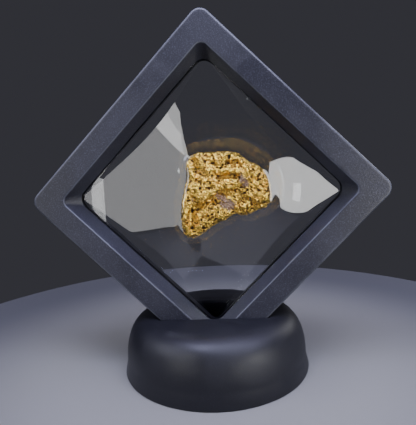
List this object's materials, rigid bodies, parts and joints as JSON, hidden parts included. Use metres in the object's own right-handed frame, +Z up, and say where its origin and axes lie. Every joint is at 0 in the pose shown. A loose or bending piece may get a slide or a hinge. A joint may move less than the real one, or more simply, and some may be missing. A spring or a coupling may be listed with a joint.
{
  "type": "gold nugget in display frame",
  "caption": "Rough gold nugget gripped between two clear films in a square black case that stands on one corner in a round foot.",
  "frame": {"origin": "centre of the foot's underside", "axes": "+X to the right seen from in front, +Y through the case from front to back, +Z up to the case's top corner"},
  "size_m": [0.1238, 0.0686, 0.1259],
  "materials": {
    "gold": "natural gold, rough and pitted, brown in the pits",
    "clear_film": "clear glossy film, stretched tight",
    "black_plastic": "black moulded plastic, fine matte grain"
  },
  "bodies": {
    "root": {"nugget": "gold", "film_front": "clear_film", "film_back": "clear_film", "case_front": "black_plastic", "case_back": "black_plastic", "foot": "black_plastic"}
  },
  "joints": []
}
